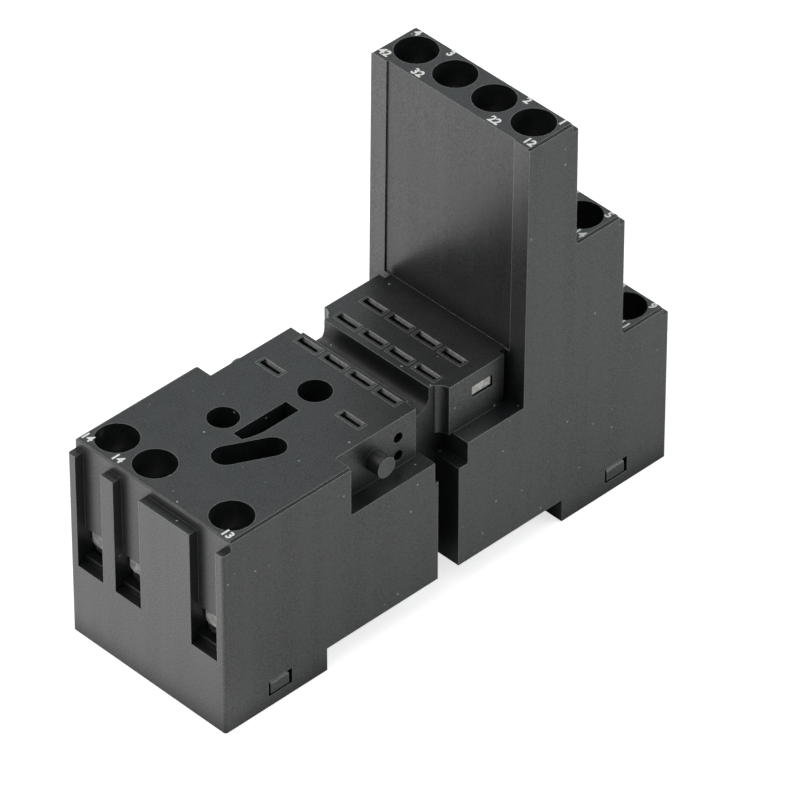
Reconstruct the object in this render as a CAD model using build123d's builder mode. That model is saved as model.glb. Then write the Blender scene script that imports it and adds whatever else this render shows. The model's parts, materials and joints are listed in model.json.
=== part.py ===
"""Four-pole relay socket for a DIN rail, with fifteen rising-clamp screw terminals.

X runs across the rail, from the coil end (-X) to the contact end (+X), Y along the rail, Z up.
The origin is the centre of the base, on the plane that a mounting panel touches. Millimetres.
"""
import os

from build123d import *

os.makedirs("parts", exist_ok=True)

# Blocks of the housing along X, and its width along the rail
coil_block_length = 35.4
groove_width = 3.5
contact_block_length = 36.1
width = 27.0
length = coil_block_length + groove_width + contact_block_length
coil_end = -length / 2
contact_end = length / 2
groove_start = coil_end + coil_block_length
groove_end = groove_start + groove_width
half_width = width / 2

# Heights of the seat, of the three tiers of contact terminals and of the rail gap
seat_top = 29.2
low_tier_top = 24.1
mid_tier_top = 42.6
top_tier_top = 61.0
rail_ceiling = 3.4

# Depths of the tiers along X, lowest first, and the lean of the tower's front face
low_tier_depth = 8.0
mid_tier_depth = 8.3
top_tier_depth = 8.35
tower_lean = 0.5
panel_depth = 0.2
mid_tier_back = contact_end - low_tier_depth
top_tier_back = mid_tier_back - mid_tier_depth
tower_front_top = top_tier_back - top_tier_depth
tower_front_foot = tower_front_top - tower_lean

# Feet that stand either side of the rail
coil_foot_length = 16.8
contact_foot_length = 18.3
coil_foot_end = coil_end + coil_foot_length
contact_foot_start = contact_end - contact_foot_length

# Rims: the top faces stand a little proud of the long sides, and their lips are set back at the wire ends
rim_inset = 0.3
rim_drop = 0.25
ledge_inset = 1.1
ledge_drop = 1.3
corner_radius = 0.4
top_edge_radius = 0.4

# Skin of the coil end, raised over the band that runs along its top
skin_depth = 1.35
band_height = 1.55
band_face = coil_end + skin_depth

# Valley between the coil block and the contact block, cut with a round bottom
valley_start = -2.9
valley_end = 0.6
valley_depth = 3.2
valley_radius = 2.0

# Recesses along both long sides, for the legs of a retaining clip
side_recess_depth = 2.65
side_floor = 21.9
recess_start = -16.6
block_side_face = half_width - side_recess_depth
tower_groove_width = 0.9
tower_groove_depth = 1.0
coil_wall_end = -3.3
contact_wall_start = 2.3

# Vertical grooves in the middle of both long sides
groove_floor = 9.1
groove_mouth_bottom = 18.7
groove_mouth_left = 0.55
groove_mouth_right = 1.5
groove_corner_radius = 1.7

# Pivot pin and two locating holes of the retaining clip, on each side
clip_pin_x = -10.4
clip_pin_z = 25.5
clip_pin_radius = 1.4
clip_pin_length = 2.3
clip_hole_x = -6.25
clip_hole_low_z = 23.65
clip_hole_pitch = 2.75
clip_hole_radius = 0.75
clip_hole_depth = 1.6

# Seat of the relay: contact rows, coil row and the slots that its blades enter
contact_pitch = 4.55
row_common_x = -4.15
row_open_x = 2.4
row_closed_x = 6.8
row_coil_x = -10.3
coil_blade_y = 6.95
slot_width = 4.0
slot_mouth = 1.5
slot_throat = 0.8
slot_mouth_depth = 0.9

# Holes and keyways of the seat
panel_hole_x = -9.6
panel_hole_radius = 2.175
key_hole_x = -20.95
key_hole_y = 4.0
key_hole_radius = 2.05
key_depth = 6.0
key_slot_start = -22.15
key_slot_end = -13.5
key_slot_far_y = 1.0
key_slot_near_y = -1.35
key_slot_curve_x = -18.7
key_slot_corner_y = -0.55
oblong_ends = ((-25.6, -1.4), (-20.45, -4.05))
oblong_radius = 1.8

# Screw terminals: columns along Y, and levels measured down from the top of each tier
terminal_pitch = 6.65
terminal_setback = 4.2
coil_terminal_setback = 4.85
well_radius = 2.8
well_depth = 6.6
well_rib_width = 0.9
well_rib_depth = 0.8
well_rib_drop = 0.8
well_rib_height = 3.5
head_radius = 2.4
head_height = 1.9
head_slot_width = 0.8
head_slot_depth = 1.0
head_slot_turn = 35.0
head_cross_span = 3.2
shank_radius = 1.5
shank_clearance = 0.2
thread_clearance = 0.05
tip_gap = 0.1
clamp_room_top = 9.9
window_top = 13.2
window_floor = 18.5
window_lip = 0.9
window_width = 4.5
window_cut = 5.2
clamp_room_floor = 21.4
bar_underside = 16.2

# Rising clamp: a rectangular loop round the current bar
clamp_length = 4.2
clamp_width = 4.4
clamp_wall = 0.6
clamp_floor = 0.9
clamp_roof = 1.3
clamp_mouth = 5.0
clamp_corner_chamfer = 0.5
clamp_clearance = 0.2
clamp_gap = 2.4
clamp_gap_tightened = 0.5

# Current bars and the forks that grip the relay's blades
bar_thickness = 0.7
bar_width = 2.7
strip_width = 3.0
strip_clearance = 0.15
fork_leaf = 0.45
fork_gap = 0.55
fork_depth = 6.0
fork_top_drop = 1.5
level_open = 15.6
level_closed = 20.6
riser_gap = 0.55
jog_run = 3.5
jog_common_x = 4.0
jog_open_x = 5.0
jog_closed_x = 9.2
jog_coil_x = -24.0
ear_reach = 10.6
ear_bottom = 25.65
ear_height = 1.4
ear_start = 6.3
ear_length = 3.2

# Foot covers, clipped in from below, with their tongues in windows of the long sides
wall = 1.2
pocket_height = 5.0
cover_thickness = 1.2
cover_base = 0.2
cover_clearance = 0.15
tongue_setback = 7.1
tongue_length = 3.9
tongue_bottom = 1.6
tongue_height = 2.35
tongue_thickness = 1.0
tongue_rise = 4.4
contact_tongue_setback = 6.9
tongue_sink = 0.1
nub_side_gap = 0.45
nub_low_gap = 0.2
nub_top_gap = 0.4
nub_slope = 0.35

# Rail latch: a flat slide in the contact foot, and the fixed hook on the coil foot
latch_half_width = 4.0
latch_flange = 1.0
latch_thickness = 1.6
latch_lip = 0.6
latch_clearance = 0.15
latch_base = 0.2
latch_tail = 36.9
latch_travel = 2.0
hook_reach = 6.2
hook_height = 2.1
hook_tip = 1.1
fixed_hook_reach = 2.4
fixed_hook_bottom = 0.9
latch_slot_start = 22.2
latch_peg_length = 1.2
latch_slot_half_width = 2.2
peg_half_width = 1.6
stop_gap = 0.05
bridge_end = 30.6
bridge_thickness = 1.2
tool_slot_setback = 2.2
tool_slot_length = 4.0
tool_slot_width = 1.4
spring_room = 4.8
spring_thickness = 0.3
spring_width = 1.2
spring_half_span = 1.85
spring_folds = 4
spring_bend = 0.3


def tower_front(height):
    """X of the tower's leaning front face at a height."""
    return tower_front_foot + tower_lean * (height - side_floor) / (top_tier_top - side_floor)


def columns(pitch):
    """Places of four columns along Y, spaced evenly about the middle plane."""
    return [(index - 1.5) * pitch for index in range(4)]


terminal_columns = columns(terminal_pitch)
blade_columns = columns(contact_pitch)

# Every terminal: its name, the X and Y of its axis, and the top of its tier
tiers = {
    "com": (contact_end - terminal_setback, low_tier_top),
    "no": (mid_tier_back - terminal_setback, mid_tier_top),
    "nc": (top_tier_back - terminal_setback, top_tier_top),
}
coil_axis_x = coil_end + coil_terminal_setback
coil_columns = {
    "coil_a1": terminal_columns[0],
    "coil_a2_inner": terminal_columns[2],
    "coil_a2_outer": terminal_columns[3],
}
tongue_starts = {
    "coil": coil_end + tongue_setback,
    "contact": contact_end - contact_tongue_setback - tongue_length,
}
terminals = {}
for tier_name, (axis_x, tier_top) in tiers.items():
    for number, column_y in enumerate(terminal_columns, start=1):
        terminals[f"{tier_name}_{number}"] = (axis_x, column_y, tier_top)
for coil_name, column_y in coil_columns.items():
    terminals[coil_name] = (coil_axis_x, column_y, seat_top)


def mouth_gap(name):
    """Height of the wire space under the current bar, as each clamp stands."""
    return clamp_gap_tightened if name == "coil_a2_outer" else clamp_gap


def level_plane(height):
    """Horizontal plane at a height, for a sketch in X and Y."""
    return Plane.XY.offset(height)


def strip_blocks(blocks, grow):
    """Extrudes the flat pieces of a contact strip, each one a sketch outline between two heights."""
    for outline, bottom, top in blocks:
        with BuildSketch(level_plane(bottom - grow)) as flat:
            Polygon(*outline, align=None)
            if grow > 0:
                offset(amount=grow, kind=Kind.INTERSECTION)
        extrude(flat.sketch, amount=top - bottom + 2 * grow)


def rectangle_points(x_low, x_high, y_low, y_high):
    """Corners of an upright rectangle."""
    return [(x_low, y_low), (x_high, y_low), (x_high, y_high), (x_low, y_high)]


def fork_outline(row_x, column_y):
    """Outline of the pair of leaves that grip one blade."""
    reach = fork_gap / 2 + fork_leaf
    half = strip_width / 2
    return rectangle_points(row_x - reach, row_x + reach, column_y - half, column_y + half)


def jogged_run(start_x, start_y, jog_x, end_x, end_y):
    """Outline of a flat run that steps sideways from one column to another, going towards end_x."""
    half = strip_width / 2
    step = jog_run if start_x > end_x else -jog_run
    route = [(start_x, start_y), (jog_x + step, start_y), (jog_x, end_y), (end_x, end_y)]
    near = [(x, y - half) for x, y in route]
    far = [(x, y + half) for x, y in reversed(route)]
    return near + far


def bar_outline(axis_x, column_y, side, inner_x):
    """Outline of the current bar that lies through a clamp."""
    outer_x = axis_x + side * (clamp_length / 2 + clamp_clearance / 2)
    half = bar_width / 2
    return rectangle_points(min(outer_x, inner_x), max(outer_x, inner_x), column_y - half, column_y + half)


fork_reach = fork_gap / 2 + fork_leaf
fork_top = seat_top - fork_top_drop
clamp_room_half = clamp_length / 2 + clamp_clearance
rows = {"com": row_common_x, "no": row_open_x, "nc": row_closed_x}
run_levels = {"com": low_tier_top - bar_underside, "no": level_open, "nc": level_closed}
jog_ends = {"com": jog_common_x, "no": jog_open_x, "nc": jog_closed_x}


def contact_strip_blocks(tier, number):
    """Flat pieces of one contact strip, from its terminal to the fork under its seat slot."""
    axis_x, tier_top = tiers[tier]
    terminal_y = terminal_columns[number]
    blade_y = blade_columns[number]
    bar_bottom = tier_top - bar_underside
    level = run_levels[tier]
    riser_x = axis_x - clamp_room_half - riser_gap
    half = strip_width / 2
    riser = rectangle_points(riser_x - bar_thickness, riser_x, terminal_y - half, terminal_y + half)
    run = jogged_run(riser_x, terminal_y, jog_ends[tier], rows[tier] - fork_reach, blade_y)
    bar = bar_outline(axis_x, terminal_y, 1, riser_x - bar_thickness)
    blocks = [
        (bar, bar_bottom, bar_bottom + bar_thickness),
        (run, level, level + bar_thickness),
        (fork_outline(rows[tier], blade_y), level, fork_top),
    ]
    if level < bar_bottom:
        blocks.append((riser, level, bar_bottom + bar_thickness))
    if tier == "nc" and number in (0, 3):
        outward = 1 if blade_y > 0 else -1
        ear_sides = sorted((blade_y, outward * ear_reach))
        ear = rectangle_points(ear_start, ear_start + ear_length, *ear_sides)
        blocks.append((ear, ear_bottom, ear_bottom + ear_height))
    return blocks


def coil_strip_blocks(side):
    """Flat pieces of a coil strip: side -1 serves one terminal, side 1 bridges two."""
    level = seat_top - bar_underside
    blade_y = side * coil_blade_y
    inner_x = coil_axis_x + clamp_room_half + riser_gap
    served = [y for y in coil_columns.values() if y * side > 0]
    half = strip_width / 2
    blocks = [
        (bar_outline(coil_axis_x, column_y, -1, inner_x + bar_thickness), level, level + bar_thickness)
        for column_y in served
    ]
    if len(served) > 1:
        bridge = rectangle_points(inner_x, inner_x + strip_width, min(served) - half, max(served) + half)
        blocks.append((bridge, level, level + bar_thickness))
        run = rectangle_points(inner_x, row_coil_x + fork_reach, blade_y - half, blade_y + half)
    else:
        run = jogged_run(inner_x, served[0], jog_coil_x, row_coil_x + fork_reach, blade_y)
    blocks.append((run, level, level + bar_thickness))
    blocks.append((fork_outline(row_coil_x, blade_y), level, fork_top))
    return blocks


strips = {}
for tier_name in tiers:
    for index in range(4):
        strips[f"{tier_name}_{index + 1}"] = (
            contact_strip_blocks(tier_name, index),
            (rows[tier_name], blade_columns[index]),
        )
strips["coil_a1"] = (coil_strip_blocks(-1), (row_coil_x, -coil_blade_y))
strips["coil_a2"] = (coil_strip_blocks(1), (row_coil_x, coil_blade_y))

# Room that the strips take inside the housing
with BuildPart() as strip_rooms:
    for blocks, fork_place in strips.values():
        strip_blocks(blocks, strip_clearance)

# Housing: one moulding, drawn as its side profile and cut from all sides
with BuildPart() as housing:
    with BuildSketch(Plane.XZ.offset(-half_width)):
        with BuildLine():
            band_bottom = seat_top - band_height
            valley_floor = seat_top - valley_depth
            Polyline(
                (coil_end, 0),
                (coil_foot_end, 0),
                (coil_foot_end, rail_ceiling),
                (contact_foot_start, rail_ceiling),
                (contact_foot_start, 0),
                (contact_end, 0),
                (contact_end, low_tier_top),
                (mid_tier_back, low_tier_top),
                (mid_tier_back, mid_tier_top),
                (top_tier_back, mid_tier_top),
                (top_tier_back, top_tier_top),
                (tower_front_top, top_tier_top),
                (tower_front(seat_top), seat_top),
                (valley_end, seat_top),
                (valley_end, valley_floor),
                (valley_start, valley_floor),
                (valley_start, seat_top),
                (band_face, seat_top),
                (band_face, band_bottom),
                (coil_end, band_bottom),
                close=True,
            )
        make_face()
        valley_corner = vertices().filter_by(
            lambda v: abs(v.X - valley_end) < 0.01 and abs(v.Y - valley_floor) < 0.01
        )
        fillet(valley_corner, radius=valley_radius)
        end_corner = vertices().filter_by(
            lambda v: abs(v.X - band_face) < 0.01 and abs(v.Y - seat_top) < 0.01
        )
        fillet(end_corner, radius=top_edge_radius)
    extrude(amount=width)

    # Rounded upright corners of the coil end and of the back of every tier
    corners = housing.edges().filter_by(Axis.Z).filter_by(
        lambda e: any(
            abs(e.center().X - x) < 0.01 for x in (coil_end, top_tier_back, mid_tier_back, contact_end)
        )
    )
    fillet(corners, radius=corner_radius)

    # Panel of the tower's front, sunk between its side strips
    with BuildSketch(Plane.XZ.offset(-block_side_face)):
        Polygon(
            (tower_front(seat_top) - panel_depth, seat_top),
            (tower_front(seat_top) + panel_depth, seat_top),
            (tower_front_top + panel_depth, top_tier_top),
            (tower_front_top - panel_depth, top_tier_top),
            align=None,
        )
    extrude(amount=2 * block_side_face, mode=Mode.SUBTRACT)

    # Both long sides: recess beside the seat, slit at the tower, grooves, clip pins and clip holes
    for side in (1, -1):
        with BuildSketch(Plane.XZ.offset(-side * block_side_face)):
            Polygon(
                (recess_start, side_floor),
                (tower_front_foot, side_floor),
                (tower_front(seat_top), seat_top),
                (recess_start, seat_top),
                align=None,
            )
        extrude(amount=-side * side_recess_depth, mode=Mode.SUBTRACT)
        with BuildSketch(Plane.XZ.offset(-side * (block_side_face - tower_groove_depth))):
            Polygon(
                (tower_front_foot - tower_groove_width, side_floor),
                (tower_front_foot, side_floor),
                (tower_front(seat_top), seat_top),
                (tower_front(seat_top) - tower_groove_width, seat_top),
                align=None,
            )
        extrude(amount=-side * tower_groove_depth, mode=Mode.SUBTRACT)
        with BuildSketch(level_plane(side_floor)):
            gap = rectangle_points(coil_wall_end, contact_wall_start, side * groove_floor, side * half_width)
            Polygon(*gap, align=None)
            inner_corner = vertices().filter_by(
                lambda v: abs(v.X - contact_wall_start) < 0.01 and abs(v.Y) < block_side_face
            )
            fillet(inner_corner, radius=groove_corner_radius)
        extrude(amount=seat_top - side_floor, mode=Mode.SUBTRACT)
        with BuildSketch(level_plane(0)):
            groove = rectangle_points(groove_start, groove_end, side * groove_floor, side * half_width)
            Polygon(*groove, align=None)
        extrude(amount=seat_top, mode=Mode.SUBTRACT)
        with BuildSketch(level_plane(groove_mouth_bottom)):
            mouth_start = groove_start - groove_mouth_left
            mouth_end = groove_end + groove_mouth_right
            mouth = rectangle_points(mouth_start, mouth_end, side * groove_floor, side * half_width)
            Polygon(*mouth, align=None)
        extrude(amount=side_floor - groove_mouth_bottom, mode=Mode.SUBTRACT)
        with BuildSketch(Plane.XZ.offset(-side * block_side_face)):
            with Locations((clip_pin_x, clip_pin_z)):
                Circle(clip_pin_radius)
        extrude(amount=-side * clip_pin_length)
        with BuildSketch(Plane.XZ.offset(-side * block_side_face)):
            with Locations((clip_hole_x, clip_hole_low_z), (clip_hole_x, clip_hole_low_z + clip_hole_pitch)):
                Circle(clip_hole_radius)
        extrude(amount=side * clip_hole_depth, mode=Mode.SUBTRACT)
        with BuildSketch(Plane.XZ.offset(-side * block_side_face)):
            ear_window = rectangle_points(
                ear_start - strip_clearance,
                ear_start + ear_length + strip_clearance,
                ear_bottom - strip_clearance,
                ear_bottom + ear_height + strip_clearance,
            )
            Polygon(*ear_window, align=None)
        extrude(amount=side * (block_side_face - ear_reach), mode=Mode.SUBTRACT)

    # Rims along the top edges of the long sides
    rim_ranges = [
        (coil_end, groove_start, seat_top),
        (mid_tier_back, contact_end, low_tier_top),
        (top_tier_back, mid_tier_back, mid_tier_top),
        (tower_front_top - panel_depth, top_tier_back, top_tier_top),
    ]
    for x_low, x_high, tier_top in rim_ranges:
        for side in (1, -1):
            with BuildSketch(level_plane(tier_top - rim_drop)):
                rim = rectangle_points(x_low, x_high, side * (half_width - rim_inset), side * half_width)
                Polygon(*rim, align=None)
            extrude(amount=rim_drop, mode=Mode.SUBTRACT)

    # Ledges along the backs of the tiers, under their lips
    tier_backs = {contact_end: low_tier_top, mid_tier_back: mid_tier_top, top_tier_back: top_tier_top}
    for back, tier_top in tier_backs.items():
        with BuildSketch(level_plane(tier_top - ledge_drop)):
            ledge = rectangle_points(back - ledge_inset, back, -half_width, half_width)
            Polygon(*ledge, align=None)
        extrude(amount=ledge_drop, mode=Mode.SUBTRACT)

    # Wire pockets in the skin of the coil end
    with BuildSketch(Plane.YZ.offset(coil_end)):
        for column_y in coil_columns.values():
            pocket = rectangle_points(
                column_y - window_width / 2, column_y + window_width / 2, seat_top - window_floor, seat_top
            )
            Polygon(*pocket, align=None)
    extrude(amount=skin_depth, mode=Mode.SUBTRACT)

    # Screw wells with their ribs, screw holes, clamp rooms and wire windows, row by row
    coil_row = (coil_axis_x, seat_top, list(coil_columns.values()), -1)
    contact_rows = [(axis_x, tier_top, terminal_columns, 1) for axis_x, tier_top in tiers.values()]
    for axis_x, tier_top, row_columns, wire_side in [coil_row, *contact_rows]:
        places = [(axis_x, column_y) for column_y in row_columns]
        with BuildSketch(level_plane(tier_top)):
            with Locations(*places):
                Circle(well_radius)
        extrude(amount=-well_depth, mode=Mode.SUBTRACT)
        with BuildSketch(level_plane(tier_top - well_rib_drop)):
            rib_offset = well_radius - well_rib_depth / 2
            with Locations(*[(axis_x, column_y - rib_offset) for column_y in row_columns]):
                Rectangle(well_rib_width, well_rib_depth)
        extrude(amount=-well_rib_height)
        with BuildSketch(level_plane(tier_top - well_depth)):
            with Locations(*places):
                Circle(shank_radius + shank_clearance)
        extrude(amount=-(clamp_room_top - well_depth), mode=Mode.SUBTRACT)
        with BuildSketch(level_plane(tier_top - clamp_room_top)):
            with Locations(*places):
                Rectangle(2 * clamp_room_half, clamp_width + 2 * clamp_clearance)
        extrude(amount=-(clamp_room_floor - clamp_room_top), mode=Mode.SUBTRACT)
        with BuildSketch(Plane.YZ.offset(axis_x)):
            window_bottom = tier_top - window_floor + window_lip
            window_height = window_floor - window_lip - window_top
            with Locations(*[(column_y, window_bottom + window_height / 2) for column_y in row_columns]):
                Rectangle(window_width, window_height)
        extrude(amount=wire_side * window_cut, mode=Mode.SUBTRACT)

    # Blade slots with sloped long sides at their mouths, over the rooms of the forks
    slot_rows = {column_y: list(rows.values()) for column_y in blade_columns}
    slot_rows[coil_blade_y] = [row_coil_x]
    slot_rows[-coil_blade_y] = [row_coil_x]
    for blade_y, row_places in slot_rows.items():
        with BuildSketch(Plane.XZ.offset(-(blade_y + slot_width / 2))):
            for row_x in row_places:
                Polygon(
                    (row_x - slot_mouth / 2, seat_top),
                    (row_x - slot_throat / 2, seat_top - slot_mouth_depth),
                    (row_x - slot_throat / 2, fork_top),
                    (row_x + slot_throat / 2, fork_top),
                    (row_x + slot_throat / 2, seat_top - slot_mouth_depth),
                    (row_x + slot_mouth / 2, seat_top),
                    align=None,
                )
        extrude(amount=slot_width, mode=Mode.SUBTRACT)
    add(strip_rooms.part, mode=Mode.SUBTRACT)

    # Panel screw hole, right through the seat
    with BuildSketch(level_plane(seat_top)):
        with Locations((panel_hole_x, 0)):
            Circle(panel_hole_radius)
    extrude(amount=-seat_top, mode=Mode.SUBTRACT)

    # Keyways of the seat: a round hole, a straight slot with a curved corner and an oblong
    with BuildSketch(level_plane(seat_top)):
        with Locations((key_hole_x, key_hole_y)):
            Circle(key_hole_radius)
        with BuildLine():
            Polyline(
                (key_slot_start, key_slot_corner_y),
                (key_slot_start, key_slot_far_y),
                (key_slot_end, key_slot_far_y),
                (key_slot_end, key_slot_near_y),
                (key_slot_curve_x, key_slot_near_y),
            )
            TangentArc(
                (key_slot_curve_x, key_slot_near_y), (key_slot_start, key_slot_corner_y), tangent=(-1, 0)
            )
        make_face()
    extrude(amount=-key_depth, mode=Mode.SUBTRACT)
    with BuildSketch(level_plane(seat_top)):
        with BuildLine():
            oblong_spine = Line(*oblong_ends)
        SlotArc(oblong_spine, height=2 * oblong_radius)
    extrude(amount=-key_depth, mode=Mode.SUBTRACT)

    # Foot pockets, open downwards, and the windows for the tongues of their covers
    pocket_half = half_width - wall
    for foot_start, foot_end in ((coil_end, coil_foot_end), (contact_foot_start, contact_end)):
        with BuildSketch(level_plane(0)):
            foot_pocket = rectangle_points(foot_start + wall, foot_end - wall, -pocket_half, pocket_half)
            Polygon(*foot_pocket, align=None)
        extrude(amount=pocket_height, mode=Mode.SUBTRACT)
    for tongue_start in tongue_starts.values():
        with BuildSketch(Plane.XZ.offset(-half_width)):
            Polygon(
                *rectangle_points(
                    tongue_start, tongue_start + tongue_length, tongue_bottom, tongue_bottom + tongue_height
                ),
                align=None,
            )
        extrude(amount=width, mode=Mode.SUBTRACT)

    # Doorway of the rail latch through both walls of the contact foot, and the fixed hook
    with BuildSketch(level_plane(0)):
        doorway_half = latch_half_width + latch_flange + latch_clearance
        Polygon(
            *rectangle_points(contact_foot_start, contact_end, -doorway_half, doorway_half),
            align=None,
        )
    extrude(amount=latch_base + latch_thickness + latch_clearance, mode=Mode.SUBTRACT)
    with BuildSketch(Plane.XZ.offset(-latch_half_width)):
        Polygon(
            (coil_foot_end, fixed_hook_bottom),
            (coil_foot_end + fixed_hook_reach / 2, fixed_hook_bottom),
            (coil_foot_end + fixed_hook_reach, latch_base + hook_height - hook_tip / 2),
            (coil_foot_end + fixed_hook_reach, latch_base + hook_height),
            (coil_foot_end, latch_base + hook_height),
            align=None,
        )
    extrude(amount=2 * latch_half_width)

housing.part.label = "housing"
export_step(housing.part, "parts/housing.step")

# Terminal screws: a slotted head on the floor of its well, and a shank that stands on the current bar
for name, (axis_x, column_y, tier_top) in terminals.items():
    head_seat = tier_top - well_depth
    shank_tip = tier_top - bar_underside + bar_thickness + tip_gap
    with BuildPart() as screw:
        with BuildSketch(level_plane(head_seat)):
            with Locations((axis_x, column_y)):
                Circle(head_radius)
        extrude(amount=head_height)
        with BuildSketch(level_plane(head_seat + head_height)):
            with Locations((axis_x, column_y)):
                Rectangle(2 * head_radius, head_slot_width, rotation=head_slot_turn)
                Rectangle(head_cross_span, head_slot_width, rotation=head_slot_turn + 90)
        extrude(amount=-head_slot_depth, mode=Mode.SUBTRACT)
        with BuildSketch(level_plane(head_seat)):
            with Locations((axis_x, column_y)):
                Circle(shank_radius)
        extrude(amount=shank_tip - head_seat)
    screw.part.label = f"screw_{name}"
    export_step(screw.part, f"parts/screw_{name}.step")

# Rising clamps: a loop round the current bar, threaded on the screw through its roof
for name, (axis_x, column_y, tier_top) in terminals.items():
    loop_floor = tier_top - bar_underside - mouth_gap(name)
    loop_roof = loop_floor + clamp_mouth
    with BuildPart() as clamp:
        with BuildSketch(Plane.YZ.offset(axis_x - clamp_length / 2)):
            with Locations((column_y, (loop_floor - clamp_floor + loop_roof + clamp_roof) / 2)):
                Rectangle(clamp_width, clamp_mouth + clamp_floor + clamp_roof)
            chamfer(vertices(), length=clamp_corner_chamfer)
            with Locations((column_y, loop_floor + clamp_mouth / 2)):
                Rectangle(clamp_width - 2 * clamp_wall, clamp_mouth, mode=Mode.SUBTRACT)
        extrude(amount=clamp_length)
        with BuildSketch(level_plane(loop_roof)):
            with Locations((axis_x, column_y)):
                Circle(shank_radius + thread_clearance)
        extrude(amount=clamp_roof, mode=Mode.SUBTRACT)
    clamp.part.label = f"clamp_{name}"
    export_step(clamp.part, f"parts/clamp_{name}.step")

# Contact strips, each in one piece with the fork that grips a blade
for name, (blocks, (row_x, blade_y)) in strips.items():
    with BuildPart() as strip:
        strip_blocks(blocks, 0)
        with BuildSketch(level_plane(fork_top)):
            with Locations((row_x, blade_y)):
                Rectangle(fork_gap, strip_width)
        extrude(amount=-fork_depth, mode=Mode.SUBTRACT)
    strip.part.label = f"strip_{name}"
    export_step(strip.part, f"parts/strip_{name}.step")


def snap_tongue(start, side):
    """Adds one snap tongue to a cover: the spring blade, and the nub that sits in the foot's window."""
    inner_y = cover_half - tongue_thickness
    with BuildSketch(level_plane(cover_base)) as blade:
        blade_end = start + tongue_length - cover_clearance
        outline = rectangle_points(start + cover_clearance, blade_end, side * inner_y, side * cover_half)
        Polygon(*outline, align=None)
    extrude(blade.sketch, amount=tongue_rise)
    nub_bottom = tongue_bottom + nub_low_gap
    nub_top = tongue_bottom + tongue_height - nub_top_gap
    nub_face = half_width - tongue_sink
    with BuildSketch(Plane.YZ.offset(start + nub_side_gap)) as nub:
        Polygon(
            (side * inner_y, nub_bottom),
            (side * nub_face, nub_bottom),
            (side * nub_face, nub_top - nub_slope),
            (side * (nub_face - nub_slope), nub_top),
            (side * inner_y, nub_top),
            align=None,
        )
    extrude(nub.sketch, amount=tongue_length - 2 * nub_side_gap)


# Cover of the coil foot: a plate with a snap tongue at each side
cover_half = half_width - wall - cover_clearance
cover_inset = wall + cover_clearance
with BuildPart() as coil_cover:
    with BuildSketch(level_plane(cover_base)):
        plate_start = coil_end + cover_inset
        plate_end = coil_foot_end - cover_inset
        Polygon(*rectangle_points(plate_start, plate_end, -cover_half, cover_half), align=None)
    extrude(amount=cover_thickness)
    for side in (1, -1):
        snap_tongue(tongue_starts["coil"], side)
coil_cover.part.label = "coil_foot_cover"
export_step(coil_cover.part, "parts/coil_foot_cover.step")

# Cover of the contact foot: two side plates with lips under the latch, and a bridge over it
latch_top = latch_base + latch_thickness
rail_inner = latch_half_width + latch_flange + latch_clearance
lip_inner = latch_half_width + latch_clearance
cover_start = contact_foot_start + cover_inset
cover_end = contact_end - cover_inset
bridge_bottom = latch_top + latch_clearance
peg_start = latch_slot_start + spring_room
with BuildPart() as contact_cover:
    for side in (1, -1):
        with BuildSketch(level_plane(cover_base)):
            plate = rectangle_points(cover_start, cover_end, side * rail_inner, side * cover_half)
            Polygon(*plate, align=None)
        extrude(amount=cover_thickness)
        with BuildSketch(level_plane(cover_base)):
            lip = rectangle_points(cover_start, cover_end, side * lip_inner, side * rail_inner)
            Polygon(*lip, align=None)
        extrude(amount=latch_lip)
        with BuildSketch(level_plane(cover_base)):
            post = rectangle_points(cover_start, bridge_end, side * rail_inner, side * (rail_inner + wall))
            Polygon(*post, align=None)
        extrude(amount=bridge_bottom + bridge_thickness - cover_base)
        snap_tongue(tongue_starts["contact"], side)
    with BuildSketch(level_plane(bridge_bottom)):
        Polygon(*rectangle_points(cover_start, bridge_end, -rail_inner, rail_inner), align=None)
    extrude(amount=bridge_thickness)
    with BuildSketch(level_plane(bridge_bottom)):
        peg = rectangle_points(peg_start, peg_start + latch_peg_length, -peg_half_width, peg_half_width)
        Polygon(*peg, align=None)
    extrude(amount=-(latch_thickness - latch_lip))
contact_cover.part.label = "contact_foot_cover"
export_step(contact_cover.part, "parts/contact_foot_cover.step")

# Rail latch: a flat slide with flanges, a hook that reaches under the rail and a slot for its spring
hook_end = contact_foot_start - hook_reach
latch_slot_end = peg_start + latch_peg_length + stop_gap
with BuildPart() as rail_latch:
    with BuildSketch(Plane.XZ.offset(-latch_half_width)):
        Polygon(
            (hook_end, latch_base + hook_height),
            (hook_end, latch_base + hook_height - hook_tip / 2),
            (hook_end + hook_tip, latch_base),
            (latch_tail, latch_base),
            (latch_tail, latch_top),
            (contact_foot_start - latch_travel - latch_clearance, latch_top),
            (contact_foot_start - latch_travel - latch_clearance, latch_base + hook_height),
            align=None,
        )
    extrude(amount=2 * latch_half_width)
    with BuildSketch(level_plane(latch_top)):
        flange_half = latch_half_width + latch_flange
        flange = rectangle_points(cover_start + latch_clearance, latch_tail, -flange_half, flange_half)
        Polygon(*flange, align=None)
    extrude(amount=-(latch_thickness - latch_lip - latch_clearance))
    with BuildSketch(level_plane(latch_base)):
        slot_half = latch_slot_half_width
        Polygon(*rectangle_points(latch_slot_start, latch_slot_end, -slot_half, slot_half), align=None)
        with Locations((latch_tail - tool_slot_setback, 0)):
            SlotOverall(tool_slot_length, tool_slot_width, rotation=90)
    extrude(amount=latch_thickness, mode=Mode.SUBTRACT)
rail_latch.part.label = "rail_latch"
export_step(rail_latch.part, "parts/rail_latch.step")

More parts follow.
